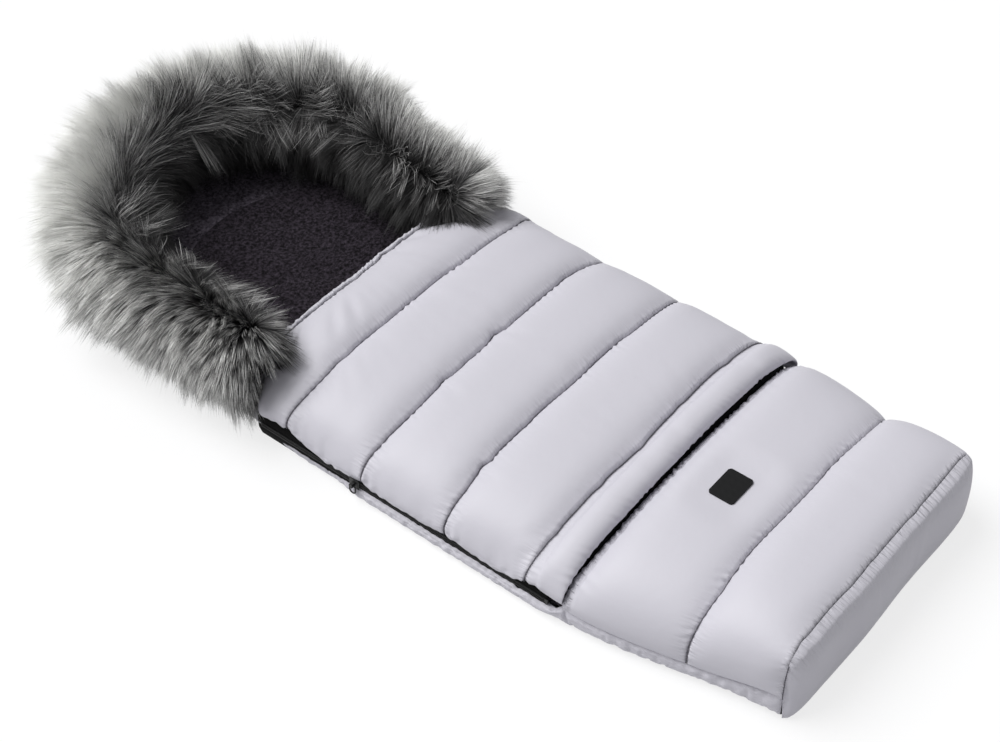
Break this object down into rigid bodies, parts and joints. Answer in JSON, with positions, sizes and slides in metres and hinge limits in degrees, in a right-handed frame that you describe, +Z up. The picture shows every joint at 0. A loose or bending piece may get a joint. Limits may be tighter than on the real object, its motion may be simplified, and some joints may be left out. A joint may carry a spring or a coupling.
{
  "type": "winter footmuff",
  "caption": "Quilted winter footmuff for a pushchair: padded back and foot box, hinged zip-off cover, fleece inside, and a fur-trimmed hood collar that tilts.",
  "frame": {"origin": "middle of the whole length and width, on the surface that the footmuff lies on", "axes": "+Y towards the head end, +X across towards the right side seen from the foot with the head end ahead, +Z up"},
  "size_m": [0.5162, 1.1282, 0.182],
  "materials": {
    "satin_nylon": "smooth downproof nylon, light grey, soft satin sheen",
    "fleece": "short-pile charcoal fleece",
    "faux_fur": "long grey faux fur, dark at the roots and light at the tips",
    "zip_tape": "black woven zip tape with a moulded coil",
    "zip_hardware": "black lacquered zinc",
    "pull_cord": "black round cord, rubber dipped",
    "label": "bare matt black soft label",
    "binding_webbing": "black woven binding"
  },
  "bodies": {
    "root": {"back_shell": "satin_nylon", "inner_lining": "fleece", "seat_pad": "fleece", "foot_panel": "satin_nylon", "foot_lining": "fleece", "foot_end_gusset": "satin_nylon", "hood_wall": "satin_nylon", "hood_lining": "fleece", "left_zip_shell_tape": "zip_tape", "right_zip_shell_tape": "zip_tape", "cross_zip_foot_tape": "zip_tape", "label_patch": "label", "left_harness_slit_binding": "binding_webbing", "right_harness_slit_binding": "binding_webbing", "crotch_slit_binding": "binding_webbing", "left_zip_bottom_stop": "zip_hardware", "right_zip_bottom_stop": "zip_hardware", "left_zip_top_stop_shell": "zip_hardware", "right_zip_top_stop_shell": "zip_hardware"},
    "cover": {"cover_panel": "satin_nylon", "mouth_panel": "satin_nylon", "cover_roll": "satin_nylon", "cover_lining": "fleece", "left_zip_cover_tape": "zip_tape", "right_zip_cover_tape": "zip_tape", "cross_zip_cover_tape": "zip_tape", "left_zip_top_stop_cover": "zip_hardware", "right_zip_top_stop_cover": "zip_hardware"},
    "collar": {"fur_collar": "faux_fur", "collar_hem": "satin_nylon"},
    "left_slider": {"left_zip_slider": "zip_hardware"},
    "left_pull": {"left_zip_pull": "pull_cord"},
    "right_slider": {"right_zip_slider": "zip_hardware"},
    "right_pull": {"right_zip_pull": "pull_cord"},
    "cross_slider": {"cross_zip_slider": "zip_hardware"},
    "cross_pull": {"cross_zip_pull": "pull_cord"}
  },
  "joints": [
    {"name": "cover_opening", "type": "hinge", "parent": "root", "child": "cover", "pos_m": [0, -0.30285, 0.09], "axis": [1, 0, 0], "range_deg": [0, 150]},
    {"name": "collar_tilt", "type": "hinge", "parent": "root", "child": "collar", "pos_m": [0, 0.10415, 0.07], "axis": [1, 0, 0], "range_deg": [0, 20]},
    {"name": "left_zip_travel", "type": "slide", "parent": "root", "child": "left_slider", "axis": [0, 1, 0], "range_m": [-0.245, 0.075]},
    {"name": "right_zip_travel", "type": "slide", "parent": "root", "child": "right_slider", "axis": [0, 1, 0], "range_m": [-0.245, 0.075]},
    {"name": "cross_zip_travel", "type": "slide", "parent": "root", "child": "cross_slider", "axis": [-1, 0, 0], "range_m": [0, 0.25]},
    {"name": "left_pull_swing", "type": "hinge", "parent": "left_slider", "child": "left_pull", "pos_m": [-0.221, -0.03785, 0.0235], "axis": [0, 1, 0], "range_deg": [0, 150]},
    {"name": "right_pull_swing", "type": "hinge", "parent": "right_slider", "child": "right_pull", "pos_m": [0.221, -0.03785, 0.0235], "axis": [0, -1, 0], "range_deg": [0, 150]},
    {"name": "cross_pull_swing", "type": "hinge", "parent": "cross_slider", "child": "cross_pull", "pos_m": [0.125, -0.30285, 0.0716], "axis": [0, 1, 0], "range_deg": [0, 150]}
  ]
}
